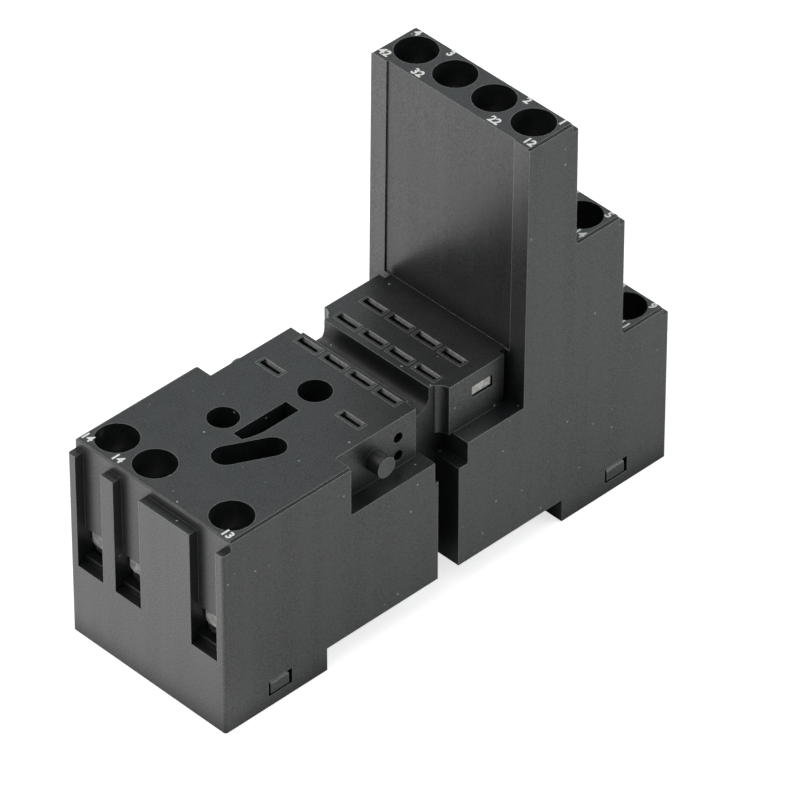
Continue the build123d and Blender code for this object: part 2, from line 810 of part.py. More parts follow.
# Latch spring: a strip folded to and fro between the latch and the peg of its cover
fold_pitch = (spring_room - spring_thickness) / spring_folds
spring_points = []
for fold in range(spring_folds + 1):
    fold_x = latch_slot_start + spring_thickness / 2 + fold * fold_pitch
    far_y = spring_half_span if fold % 2 == 0 else -spring_half_span
    spring_points.append((fold_x, -far_y))
    spring_points.append((fold_x, far_y))
with BuildPart() as latch_spring:
    with BuildSketch(level_plane(latch_base + (latch_thickness - spring_width) / 2)):
        with BuildLine():
            FilletPolyline(*spring_points, radius=spring_bend)
        trace(line_width=spring_thickness)
    extrude(amount=spring_width)
latch_spring.part.label = "latch_spring"
export_step(latch_spring.part, "parts/latch_spring.step")
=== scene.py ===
"""Looks of a four-pole relay socket on a plain studio floor.

Black glass-filled mouldings carry zinc-plated screws and clamps, tinned contact strips and white printed
terminal numbers. Lengths named in millimetres are turned into metres by MM, and every place is in the
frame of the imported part: X across the rail, Y along it, Z up.
"""

import json
import logging
import math
from dataclasses import dataclass, field
from enum import Enum

import bmesh
import bpy
from bpy.types import ID, Material, Mesh, Node, NodeSocket, NodeTree, Object
from mathutils import Matrix, Vector

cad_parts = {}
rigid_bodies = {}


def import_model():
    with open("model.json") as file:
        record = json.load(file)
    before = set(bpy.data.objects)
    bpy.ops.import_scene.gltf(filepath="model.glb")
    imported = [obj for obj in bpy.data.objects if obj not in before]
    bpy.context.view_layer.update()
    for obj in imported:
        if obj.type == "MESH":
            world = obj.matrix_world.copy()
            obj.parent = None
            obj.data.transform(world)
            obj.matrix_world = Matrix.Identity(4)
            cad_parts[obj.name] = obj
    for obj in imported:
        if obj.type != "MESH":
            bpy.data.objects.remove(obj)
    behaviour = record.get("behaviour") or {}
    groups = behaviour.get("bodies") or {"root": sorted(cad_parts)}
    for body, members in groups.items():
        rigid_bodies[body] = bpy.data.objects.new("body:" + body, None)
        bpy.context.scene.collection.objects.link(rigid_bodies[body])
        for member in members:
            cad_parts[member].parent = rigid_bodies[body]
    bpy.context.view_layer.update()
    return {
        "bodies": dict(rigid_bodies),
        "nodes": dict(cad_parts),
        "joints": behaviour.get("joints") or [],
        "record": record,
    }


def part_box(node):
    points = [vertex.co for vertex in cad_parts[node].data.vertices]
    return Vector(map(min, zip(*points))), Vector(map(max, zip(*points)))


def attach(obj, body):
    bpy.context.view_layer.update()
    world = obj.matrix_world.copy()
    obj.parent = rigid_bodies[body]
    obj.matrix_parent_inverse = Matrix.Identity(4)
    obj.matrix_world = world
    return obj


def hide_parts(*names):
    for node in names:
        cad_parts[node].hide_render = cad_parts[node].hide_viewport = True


Colour = tuple[float, float, float]
MM = 0.001
TINY = 1e-7
THREAD_STEPS = 28
PHOTO_SIZE = 800
WHITE = (1.0, 1.0, 1.0)
WARM_WHITE = (1.0, 0.98, 0.95)
SCUFF_GREY = (0.16, 0.16, 0.16)
# pale grey of the painted highlight along outer edges
EDGE_HIGHLIGHT_GREY = (0.42, 0.43, 0.43)
DUST_GREY = (0.5, 0.5, 0.49)
log = logging.getLogger("relay_socket")


class Slot(Enum):
    """Material slots of the record, for the pieces that only the look has; nothing in the script gives a
    piece one.
    """

    HOUSING = "housing_plastic"
    SCREW = "screw_steel"
    CLAMP = "clamp_steel"
    STRIP = "strip_metal"


class Side(Enum):
    """Which side of a screw well a number is printed on, along X."""

    TOWARDS_SEAT = -1
    TOWARDS_END = 1


class Tree:
    """A node tree under construction, with short calls for adding and linking nodes."""

    def __init__(self, tree: NodeTree) -> None:
        """Keeps the tree that the nodes go into."""
        self.tree = tree

    def feed(self, operand: object, target: NodeSocket) -> None:
        """Gives an input an output to read, or a plain value.

        Args:
            operand: The output or the value.
            target: The input.
        """
        if isinstance(operand, NodeSocket):
            self.tree.links.new(operand, target)
        else:
            target.default_value = operand

    def fill(self, node: Node, inputs: dict) -> None:
        """Feeds several inputs of a node, by their names or numbers."""
        for key, operand in inputs.items():
            self.feed(operand, node.inputs[key])

    def node(self, kind: str, inputs: dict | None = None, **settings: object) -> Node:
        """Adds a node.

        Args:
            kind: Blender's name of the node's type.
            inputs: Outputs or plain values for its inputs, by name or number.
            **settings: Properties of the node, set by name.

        Returns:
            The new node.
        """
        made = self.tree.nodes.new(kind)
        for name, value in settings.items():
            setattr(made, name, value)
        self.fill(made, inputs or {})
        return made

    def math(self, operation: str, first: object, *others: object) -> NodeSocket:
        """Adds a calculation, from the left, of values that are sockets or numbers.

        Args:
            operation: Blender's name of the operation.
            first: The left operand.
            *others: The operands that follow it.

        Returns:
            The result.
        """
        for other in others:
            made = self.node("ShaderNodeMath", {0: first, 1: other}, operation=operation)
            first = made.outputs["Value"]
        return first


class Shader(Tree):
    """The tree of a material, a world or a shader group."""

    def place(self) -> NodeSocket:
        """Object coordinates, which are the direction in a world."""
        return self.node("ShaderNodeTexCoord").outputs["Object"]

    def parts(self, vector: NodeSocket) -> list[NodeSocket]:
        """The X, the Y and the Z of a vector."""
        split = self.node("ShaderNodeSeparateXYZ", {"Vector": vector})
        return [split.outputs[axis] for axis in "XYZ"]

    def stretched(self, vector: NodeSocket, scale: tuple, turn: tuple = (0.0, 0.0, 0.0)) -> NodeSocket:
        """Scales and turns a vector.

        Args:
            vector: The vector.
            scale: Its scale along X, Y and Z.
            turn: Its turn about X, Y and Z, in radians.

        Returns:
            The changed vector.
        """
        inputs = {"Vector": vector, "Scale": scale, "Rotation": turn}
        return self.node("ShaderNodeMapping", inputs).outputs["Vector"]

    def noise(self, vector: NodeSocket, scale: float, detail: float) -> NodeSocket:
        """Adds noise over a vector.

        Args:
            vector: The coordinates that the noise reads.
            scale: Waves per metre.
            detail: Octaves of finer noise.

        Returns:
            The noise's value.
        """
        inputs = {"Vector": vector, "Scale": scale, "Detail": detail}
        return self.node("ShaderNodeTexNoise", inputs).outputs["Fac"]

    def ramp(self, value: NodeSocket, low: float, high: float) -> NodeSocket:
        """Maps a value smoothly from low..high to 0..1.

        Args:
            value: The value to map.
            low: Where the result is 0.
            high: Where the result is 1.

        Returns:
            The mapped value.
        """
        inputs = {"Value": value, "From Min": low, "From Max": high}
        made = self.node("ShaderNodeMapRange", inputs, interpolation_type="SMOOTHSTEP")
        return made.outputs["Result"]

    def mix(self, factor: NodeSocket, first: object, second: object) -> NodeSocket:
        """Mixes two colours, each a socket or three numbers.

        Args:
            factor: Share of the second colour.
            first: Colour where the factor is 0.
            second: Colour where the factor is 1.

        Returns:
            The mixed colour.
        """
        made = self.node("ShaderNodeMix", {"Factor": factor}, data_type="RGBA")
        for name, colour in (("A", first), ("B", second)):
            if isinstance(colour, tuple):
                colour = (*colour, 1.0)
            target = [entry for entry in made.inputs if entry.name == name and entry.type == "RGBA"][0]
            self.feed(colour, target)
        return [entry for entry in made.outputs if entry.type == "RGBA"][0]


def open_group(name: str, inputs: dict[str, float], *outputs: str) -> tuple[Shader, dict, dict]:
    """Starts a shader node group.

    Args:
        name: The group's name.
        inputs: Names and starting values of its number inputs.
        *outputs: Names of its outputs, all numbers but for a Normal.

    Returns:
        The shader helper, the group's input sockets and its output sockets, by name.
    """
    tree = bpy.data.node_groups.new(name, "ShaderNodeTree")
    for label, value in inputs.items():
        socket = tree.interface.new_socket(label, in_out="INPUT", socket_type="NodeSocketFloat")
        socket.default_value = value
    for label in outputs:
        kind = "NodeSocketVector" if label == "Normal" else "NodeSocketFloat"
        tree.interface.new_socket(label, in_out="OUTPUT", socket_type=kind)
    shader = Shader(tree)
    entry = shader.node("NodeGroupInput")
    leave = shader.node("NodeGroupOutput")
    return shader, dict(entry.outputs.items()), dict(leave.inputs.items())


def moulded_grain_group() -> NodeTree:
    """Builds the grain of glass-filled plastic: clouds, fine glass specks, scuffs and drawn streaks.

    Returns:
        The group, with a Cloud, a Speck, a Sparkle, a Scuff, a Streak and a Height output.
    """
    inputs = {"Speck Amount": 0.5, "Grain Depth": 1.0}
    shader, given, out = open_group(
        "moulded_grain", inputs, "Cloud", "Speck", "Sparkle", "Scuff", "Streak", "Height"
    )
    place = shader.place()
    cloud = shader.noise(place, scale=130.0, detail=4.0)
    shader.feed(shader.ramp(cloud, low=0.3, high=0.7), out["Cloud"])
    fine = shader.noise(place, scale=4200.0, detail=2.0)
    speck = shader.ramp(fine, low=0.62, high=0.76)
    shader.feed(shader.math("MULTIPLY", speck, given["Speck Amount"]), out["Speck"])
    sparkle = shader.ramp(shader.noise(place, scale=5200.0, detail=2.0), low=0.35, high=0.65)
    shader.feed(shader.math("SUBTRACT", sparkle, 0.5), out["Sparkle"])
    slanted = shader.stretched(place, (1.0, 3.0, 0.35), (0.4, 0.2, 0.9))
    scuff = shader.ramp(shader.noise(slanted, scale=900.0, detail=5.0), low=0.66, high=0.74)
    patch = shader.ramp(shader.noise(place, scale=90.0, detail=2.0), low=0.48, high=0.66)
    shader.feed(shader.math("MULTIPLY", scuff, patch), out["Scuff"])
    upright = shader.stretched(place, (1.0, 1.0, 0.06))
    streak = shader.noise(upright, scale=420.0, detail=3.0)
    shader.feed(shader.ramp(streak, low=0.3, high=0.7), out["Streak"])
    coarse = shader.noise(place, scale=3600.0, detail=3.0)
    grain = shader.math("ADD", coarse, shader.math("MULTIPLY", fine, 0.6))
    shader.feed(shader.math("MULTIPLY", grain, given["Grain Depth"]), out["Height"])
    return shader.tree


def smooth_panel_group() -> NodeTree:
    """Builds a mask of the tower's sunk front panel, which is moulded smoother than the rest.

    Returns:
        The group, with a Mask output. Its inputs are places in metres.
    """
    inputs = {"Back": 0.0131, "Front": 0.0120, "Half Width": 0.0108, "Foot": 0.0293}
    shader, given, out = open_group("smooth_panel", inputs, "Mask")
    x, y, z = shader.parts(shader.place())
    ahead = shader.math("LESS_THAN", x, given["Back"])
    behind = shader.math("GREATER_THAN", x, given["Front"])
    span = shader.math("LESS_THAN", shader.math("ABSOLUTE", y, 0.0), given["Half Width"])
    above = shader.math("GREATER_THAN", z, given["Foot"])
    shader.feed(shader.math("MULTIPLY", ahead, behind, span, above), out["Mask"])
    return shader.tree


def soft_edge_group() -> NodeTree:
    """Builds the small radius of real edges, a mask of outer edges that the plastic's painted highlight
    follows, and how open a place is, which the plastic uses for painted shade in recesses.

    Returns:
        The group, with a Normal, a Mask and an Open output.
    """
    inputs = {"Radius": 0.0002, "Recess Reach": 0.005}
    shader, given, out = open_group("soft_edge", inputs, "Normal", "Mask", "Open")
    bevel = shader.node("ShaderNodeBevel", {"Radius": given["Radius"]}, samples=6)
    shader.feed(bevel.outputs["Normal"], out["Normal"])
    flat = shader.node("ShaderNodeNewGeometry").outputs["True Normal"]
    normals = {0: bevel.outputs["Normal"], 1: flat}
    along = shader.node("ShaderNodeVectorMath", normals, operation="DOT_PRODUCT")
    turned = shader.math("SUBTRACT", 1.0, along.outputs["Value"])
    around = shader.node("ShaderNodeAmbientOcclusion", {"Distance": given["Recess Reach"]}, samples=6)
    shader.feed(around.outputs["AO"], out["Open"])
    outer = shader.ramp(around.outputs["AO"], low=0.45, high=0.8)
    edge = shader.ramp(turned, low=0.02, high=0.2)
    shader.feed(shader.math("MULTIPLY", edge, outer), out["Mask"])
    return shader.tree


def dust_group() -> NodeTree:
    """Builds sparse specks of pale dust.

    Returns:
        The group, with a Mask output.
    """
    shader, given, out = open_group("dust", {"Amount": 0.5}, "Mask")
    spread = {"Vector": shader.place(), "Scale": 900.0, "Randomness": 1.0}
    cell = shader.node("ShaderNodeTexVoronoi", spread)
    near = shader.ramp(cell.outputs["Distance"], low=0.16, high=0.07)
    split = shader.node("ShaderNodeSeparateColor", {"Color": cell.outputs["Color"]})
    few = shader.ramp(split.outputs["Red"], low=0.90, high=0.95)
    shader.feed(shader.math("MULTIPLY", near, few, given["Amount"]), out["Mask"])
    return shader.tree


def plating_group() -> NodeTree:
    """Builds the crystals and drawn lines of a plated or tinned surface.

    Returns:
        The group, with a Bloom and a Height output.
    """
    shader, given, out = open_group("plating", {"Line Depth": 0.5}, "Bloom", "Height")
    place = shader.place()
    crystals = shader.noise(place, scale=1300.0, detail=5.0)
    shader.feed(shader.ramp(crystals, low=0.35, high=0.7), out["Bloom"])
    lines = shader.noise(shader.stretched(place, (0.12, 1.0, 1.0)), scale=5200.0, detail=3.0)
    shader.feed(shader.math("MULTIPLY", lines, given["Line Depth"]), out["Height"])
    return shader.tree


@dataclass(frozen=True)
class Groups:
    """The shader node groups that the finishes share."""

    grain: NodeTree
    panel: NodeTree
    edge: NodeTree
    dust: NodeTree
    plating: NodeTree

    @classmethod
    def build(cls) -> "Groups":
        """Builds all groups once.

        Returns:
            The groups.
        """
        return cls(
            moulded_grain_group(), smooth_panel_group(), soft_edge_group(), dust_group(), plating_group()
        )


def place_group(shader: Shader, tree: NodeTree, **values: float) -> dict:
    """Places a node group in a material.

    Args:
        shader: The material's shader helper.
        tree: The group.
        **values: Input values, with underscores for the spaces of their names.

    Returns:
        The group's output sockets, by name.
    """
    inputs = {name.replace("_", " "): value for name, value in values.items()}
    return dict(shader.node("ShaderNodeGroup", inputs, node_tree=tree).outputs.items())


def open_material(name: str) -> tuple[Material, Shader, Node]:
    """Starts a material.

    Args:
        name: The material's name.

    Returns:
        The material, its shader helper and its Principled BSDF.
    """
    material = bpy.data.materials.new(name)
    material.use_nodes = True
    return material, Shader(material.node_tree), material.node_tree.nodes["Principled BSDF"]


@dataclass(frozen=True)
class Finish:
    """A material whose pattern goes from its first colour to its second."""

    name: str
    first: Colour
    second: Colour
    roughness: float

    def dress(self, shader: Shader, skin: Node, groups: Groups) -> None:
        """Builds the nodes of one kind of finish.

        Args:
            shader: The material's shader helper.
            skin: The material's Principled BSDF.
            groups: The shared shader groups.
        """
        raise NotImplementedError

    def build(self, groups: Groups) -> Material:
        """Builds the material.

        Args:
            groups: The shared shader groups.

        Returns:
            The finished material.
        """
        material, shader, skin = open_material(self.name)
        self.dress(shader, skin, groups)
        return material

    def emboss(
        self, shader: Shader, skin: Node, strength: float, depth: float, height: NodeSocket, edge: dict
    ) -> None:
        """Gives the surface its relief, over softened edges.

        Args:
            shader: The material's shader helper.
            skin: The material's Principled BSDF.
            strength: Share of the relief.
            depth: Depth of the relief, in millimetres.
            height: The relief's pattern.
            edge: Outputs of the edge group.
        """
        inputs = {"Strength": strength, "Distance": depth * MM, "Height": height, "Normal": edge["Normal"]}
        bump = shader.node("ShaderNodeBump", inputs)
        shader.feed(bump.outputs["Normal"], skin.inputs["Normal"])


@dataclass(frozen=True)
class MouldedPlastic(Finish):
    """Black glass-filled plastic: a satin skin with specks, clouds, streaks, scuffs and dust."""

    index: float = 1.5
    gloss: float = 0.4
    skin_index: float = 1.8
    skin_weight: float = 0.88
    panel_smoothing: float = 0.08
    panel_dulling: float = 0.35
    panel_calm: float = 0.85
    speck: float = 0.6
    speck_gain: float = 3.0
    edge_radius: float = 0.16
    # share of the painted highlight that lightens outer edges
    edge_highlight: float = 0.9
    # ambient occlusion at which the painted shade of recesses is full, and at which it ends
    recess_shade_low: float = 0.34
    recess_shade_high: float = 0.97
    sparkle: float = 0.7
    streaks: float = 0.2
    dust: float = 0.9
    scuff_share: float = 0.3
    cloud_roughness: float = 0.06
    streak_roughness: float = 0.05
    dust_roughness: float = 0.3
    bump_strength: float = 0.4
    bump_depth: float = 0.03

    def colour(self, shader: Shader, grain: dict, edge: dict, dust: dict) -> NodeSocket:
        """Builds the colour of the dusty plastic, with a painted highlight along its outer edges.

        Args:
            shader: The material's shader helper.
            grain: Outputs of the grain group.
            edge: Outputs of the edge group.
            dust: Outputs of the dust group.

        Returns:
            The colour.
        """
        base = shader.mix(grain["Cloud"], self.first, self.second)
        glassy = tuple(self.speck_gain * part for part in self.second)
        specked = shader.mix(grain["Speck"], base, glassy)
        scuff = shader.math("MULTIPLY", grain["Scuff"], self.scuff_share)
        scuffed = shader.mix(scuff, specked, SCUFF_GREY)
        # painted highlight: outer edges are mixed towards a pale grey where a lamp's highlight would run
        painted_highlight = shader.math("MULTIPLY", edge["Mask"], self.edge_highlight)
        return shader.mix(dust["Mask"], shader.mix(painted_highlight, scuffed, EDGE_HIGHLIGHT_GREY), DUST_GREY)

    def dress(self, shader: Shader, skin: Node, groups: Groups) -> None:
        """Builds a dull body under a glossy skin that the smooth panel has less of, and that fades in
        recesses by ambient occlusion as painted shade.

        Args:
            shader: The material's shader helper.
            skin: The material's Principled BSDF.
            groups: The shared shader groups.
        """
        grain = place_group(shader, groups.grain, Speck_Amount=self.speck, Grain_Depth=1.0)
        edge = place_group(shader, groups.edge, Radius=self.edge_radius * MM)
        dust = place_group(shader, groups.dust, Amount=self.dust)
        panel = place_group(shader, groups.panel)["Mask"]
        drawn = shader.math("SUBTRACT", grain["Streak"], 0.5)
        cloudy = shader.math("SUBTRACT", grain["Cloud"], 0.5)
        uneven = shader.math(
            "ADD",
            shader.math("MULTIPLY", cloudy, self.cloud_roughness),
            shader.math("MULTIPLY", drawn, self.streak_roughness),
            shader.math("MULTIPLY", dust["Mask"], self.dust_roughness),
            shader.math("MULTIPLY", panel, -self.panel_smoothing),
            self.roughness,
        )
        # painted shade: the glossy coat fades in recesses and corners by ambient occlusion
        bare = shader.ramp(edge["Open"], self.recess_shade_low, self.recess_shade_high)
        sparkle = shader.math("MULTIPLY", grain["Sparkle"], self.sparkle)
        grainy = shader.math("ADD", 1.0, sparkle, shader.math("MULTIPLY", drawn, self.streaks))
        dull = shader.math("SUBTRACT", 1.0, shader.math("MULTIPLY", panel, self.panel_dulling))
        weight = shader.math("MULTIPLY", bare, grainy, dull, self.skin_weight)
        surface = {
            "Base Color": self.colour(shader, grain, edge, dust),
            "Roughness": uneven,
            "IOR": self.index,
            "Specular IOR Level": self.gloss,
            "Coat IOR": self.skin_index,
            "Coat Roughness": self.roughness,
            "Coat Weight": shader.math("MINIMUM", weight, 1.0),
        }
        shader.fill(skin, surface)
        calm = shader.math("SUBTRACT", 1.0, shader.math("MULTIPLY", panel, self.panel_calm))
        relief = shader.math("MULTIPLY", grain["Height"], calm)
        self.emboss(shader, skin, self.bump_strength, self.bump_depth, relief, edge)


@dataclass(frozen=True)
class PlatedMetal(Finish):
    """Zinc-plated, tinned or bare spring metal, with crystals and fine drawn lines."""

    line_depth: float = 0.5
    edge_radius: float = 0.10
    metallic: float = 1.0
    bloom_polish: float = 0.12
    bloom_roughness: float = 0.06
    bump_strength: float = 0.3
    bump_depth: float = 0.02

    def dress(self, shader: Shader, skin: Node, groups: Groups) -> None:
        """Builds a metal whose crystals are lighter and smoother than the ground between them.

        Args:
            shader: The material's shader helper.
            skin: The material's Principled BSDF.
            groups: The shared shader groups.
        """
        plating = place_group(shader, groups.plating, Line_Depth=self.line_depth)
        edge = place_group(shader, groups.edge, Radius=self.edge_radius * MM)
        bloom = plating["Bloom"]
        polish = shader.math("MULTIPLY", bloom, -self.bloom_polish)
        surface = {
            "Base Color": shader.mix(bloom, self.first, self.second),
            "Metallic": self.metallic,
            "Roughness": shader.math("ADD", polish, self.roughness + self.bloom_roughness),
        }
        shader.fill(skin, surface)
        self.emboss(shader, skin, self.bump_strength, self.bump_depth, plating["Height"], edge)


@dataclass(frozen=True)
class PrintedInk(Finish):
    """White printing ink, a little thin and broken over the grain of the plastic."""

    def dress(self, shader: Shader, skin: Node, groups: Groups) -> None:
        """Builds an ink that is greyer on the specks of the grain.

        Args:
            shader: The material's shader helper.
            skin: The material's Principled BSDF.
            groups: The shared shader groups.
        """
        grain = place_group(shader, groups.grain, Speck_Amount=1.0, Grain_Depth=1.0)
        colour = shader.mix(grain["Speck"], self.first, self.second)
        shader.fill(skin, {"Base Color": colour, "Roughness": self.roughness})


def direction(azimuth: float, elevation: float) -> Vector:
    """Direction from the object to something that stands at two angles, in radians."""
    flat = math.cos(elevation)
    return Vector((math.sin(azimuth) * flat, -math.cos(azimuth) * flat, math.sin(elevation)))


def terminal_names(frame: dict) -> list[str]:
    """Names of the terminals, from the frame's screw nodes."""
    return sorted(node[len("screw_") :] for node in frame["nodes"] if node.startswith("screw_"))


def final_mesh(piece: Object) -> Mesh:
    """Mesh of an object as its modifiers leave it."""
    evaluated = piece.evaluated_get(bpy.context.evaluated_depsgraph_get())
    return bpy.data.meshes.new_from_object(evaluated)


def give_material(piece: Object, material: Material) -> None:
    """Dresses every face of a piece in one material.

    Args:
        piece: The piece.
        material: Its material.
    """
    slots = piece.material_slots
    if not slots:
        piece.data.materials.append(material)
    for slot in slots:
        slot.material = material


def centre_of(node: str) -> Vector:
    """Middle of a CAD node's box, in metres."""
    low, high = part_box(node)
    return (low + high) / 2


def add_to_scene(name: str, data: ID) -> Object:
    """Makes an object of a mesh, a curve, a lamp or a camera, at the origin and unturned.

    Args:
        name: The object's name.
        data: What it shows.

    Returns:
        The object.
    """
    piece = bpy.data.objects.new(name, data)
    bpy.context.scene.collection.objects.link(piece)
    return piece


def mesh_of(name: str, form: bmesh.types.BMesh) -> Mesh:
    """Turns a form into a mesh and frees the form.

    Args:
        name: The mesh's name.
        form: The form.

    Returns:
        The mesh.
    """
    mesh = bpy.data.meshes.new(name)
    form.to_mesh(mesh)
    form.free()
    return mesh


def add_form(name: str, form: bmesh.types.BMesh) -> Object:
    """Turns a form into an object of the scene and frees the form."""
    return add_to_scene(name, mesh_of(name, form))


class TreeBuilder(Tree):
    """A Geometry Nodes tree under construction, with named inputs."""

    def __init__(self, name: str, sizes: dict[str, float]) -> None:
        """Starts the tree.

        Args:
            name: The tree's name.
            sizes: Names and starting values of its number inputs.
        """
        super().__init__(bpy.data.node_groups.new(name, "GeometryNodeTree"))
        face = self.tree.interface
        face.new_socket("Geometry", in_out="OUTPUT", socket_type="NodeSocketGeometry")
        for label, value in sizes.items():
            socket = face.new_socket(label, in_out="INPUT", socket_type="NodeSocketFloat")
            socket.default_value = value
        face.new_socket("Material", in_out="INPUT", socket_type="NodeSocketMaterial")
        self.entry = self.node("NodeGroupInput")
        self.leave = self.node("NodeGroupOutput")

    def given(self, label: str) -> NodeSocket:
        """One of the tree's own inputs."""
        return self.entry.outputs[label]

    def vector(self, *parts: object) -> NodeSocket:
        """A vector of three parts, each a socket or a number."""
        return self.node("ShaderNodeCombineXYZ", dict(enumerate(parts))).outputs["Vector"]

    def close(self, geometry: NodeSocket) -> NodeTree:
        """Ends the tree in Realize Instances and Set Material.

        Args:
            geometry: What the tree has made.

        Returns:
            The finished tree.
        """
        real = self.node("GeometryNodeRealizeInstances", {"Geometry": geometry})
        inputs = {"Geometry": real.outputs["Geometry"], "Material": self.given("Material")}
        dressed = self.node("GeometryNodeSetMaterial", inputs)
        self.feed(dressed.outputs["Geometry"], self.leave.inputs["Geometry"])
        return self.tree


def grow_mesh(name: str, tree: NodeTree, values: dict[str, object], place: Matrix) -> Object:
    """Runs a Geometry Nodes tree and keeps its result as a plain mesh at the origin.

    Args:
        name: Name of the finished piece.
        tree: The Geometry Nodes tree.
        values: Values of the tree's inputs, by name.
        place: Where the result goes, applied to its vertices.

    Returns:
        The finished piece.
    """
    seed = add_to_scene(f"{name}_seed", bpy.data.meshes.new(f"{name}_seed"))
    modifier = seed.modifiers.new("grow", "NODES")
    modifier.node_group = tree
    for entry in tree.interface.items_tree:
        if entry.in_out == "INPUT" and entry.name in values:
            modifier[entry.identifier] = values[entry.name]
    mesh = final_mesh(seed)
    seed.modifiers.remove(modifier)
    bpy.data.objects.remove(seed)
    mesh.transform(place)
    mesh.name = name
    return add_to_scene(name, mesh)


def thread_tree() -> NodeTree:
    """Builds a screw thread: a ridge that winds round the Z axis, from its foot upwards.

    Returns:
        The tree, whose inputs are the thread's sizes in metres.
    """
    sizes = {"Radius": 1.3, "Length": 5.0, "Pitch": 0.5, "Ridge": 0.2}
    tree = TreeBuilder("screw_thread", sizes)
    winding = {
        "Resolution": THREAD_STEPS,
        "Rotations": tree.math("DIVIDE", tree.given("Length"), tree.given("Pitch")),
        "Start Radius": tree.given("Radius"),
        "End Radius": tree.given("Radius"),
        "Height": tree.given("Length"),
    }
    spiral = tree.node("GeometryNodeCurveSpiral", winding).outputs["Curve"]
    ring = {"Resolution": 4, "Radius": tree.given("Ridge")}
    section = tree.node("GeometryNodeCurvePrimitiveCircle", ring).outputs["Curve"]
    swept = {"Curve": spiral, "Profile Curve": section, "Fill Caps": True}
    sweep = tree.node("GeometryNodeCurveToMesh", swept)
    return tree.close(sweep.outputs["Mesh"])


def jaw_tree() -> NodeTree:
    """Builds the teeth of a clamp's jaw: a row of ridges along X, centred on the origin.

    Returns:
        The tree, whose inputs are the row's sizes in metres and how many teeth it has.
    """
    sizes = {"Span": 3.4, "Count": 6.0, "Width": 3.0, "Tooth": 0.16}
    tree = TreeBuilder("jaw_teeth", sizes)
    half_span = tree.math("MULTIPLY", tree.given("Span"), 0.5)
    line = {
        "Count": tree.given("Count"),
        "Start Location": tree.vector(tree.math("MULTIPLY", half_span, -1.0), 0.0, 0.0),
        "Offset": tree.vector(half_span, 0.0, 0.0),
    }
    row = tree.node("GeometryNodeMeshLine", line, mode="END_POINTS").outputs["Mesh"]
    prism = {"Vertices": 4, "Radius": tree.given("Tooth"), "Depth": tree.given("Width")}
    tooth = tree.node("GeometryNodeMeshCylinder", prism).outputs["Mesh"]
    copies = {"Points": row, "Instance": tooth, "Rotation": (math.pi / 2, 0.0, 0.0)}
    spread = tree.node("GeometryNodeInstanceOnPoints", copies)
    return tree.close(spread.outputs["Instances"])


